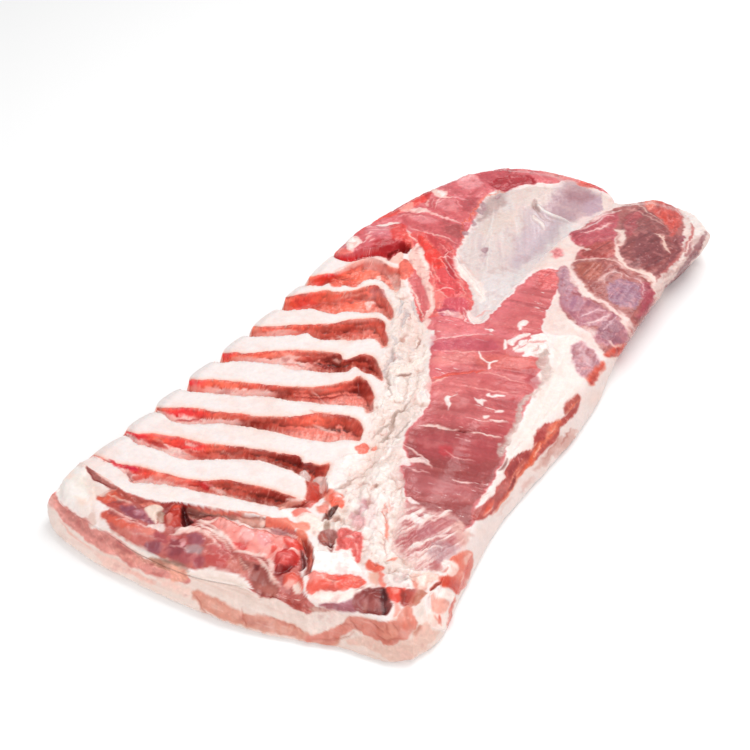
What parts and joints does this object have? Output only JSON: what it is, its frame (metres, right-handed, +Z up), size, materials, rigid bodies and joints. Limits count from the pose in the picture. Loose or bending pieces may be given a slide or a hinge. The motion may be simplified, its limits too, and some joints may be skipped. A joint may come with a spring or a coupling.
{
  "type": "pork belly slab",
  "caption": "Whole raw boneless pork belly lying rind down, with a fan of pulled-rib beds on the meat side, a long flank muscle, and a flat underside.",
  "frame": {"origin": "under the middle of the part's box, on the flat rind", "axes": "+X across the slab from the rib side to the flank side, +Y along it from the shoulder end to the flank end, +Z up through the meat side"},
  "size_m": [0.296, 0.592, 0.0478],
  "materials": {
    "raw_pork": "moist raw meat and fat, satin with wet highlights"
  },
  "bodies": {
    "root": {"belly_slab": "raw_pork"}
  },
  "joints": []
}
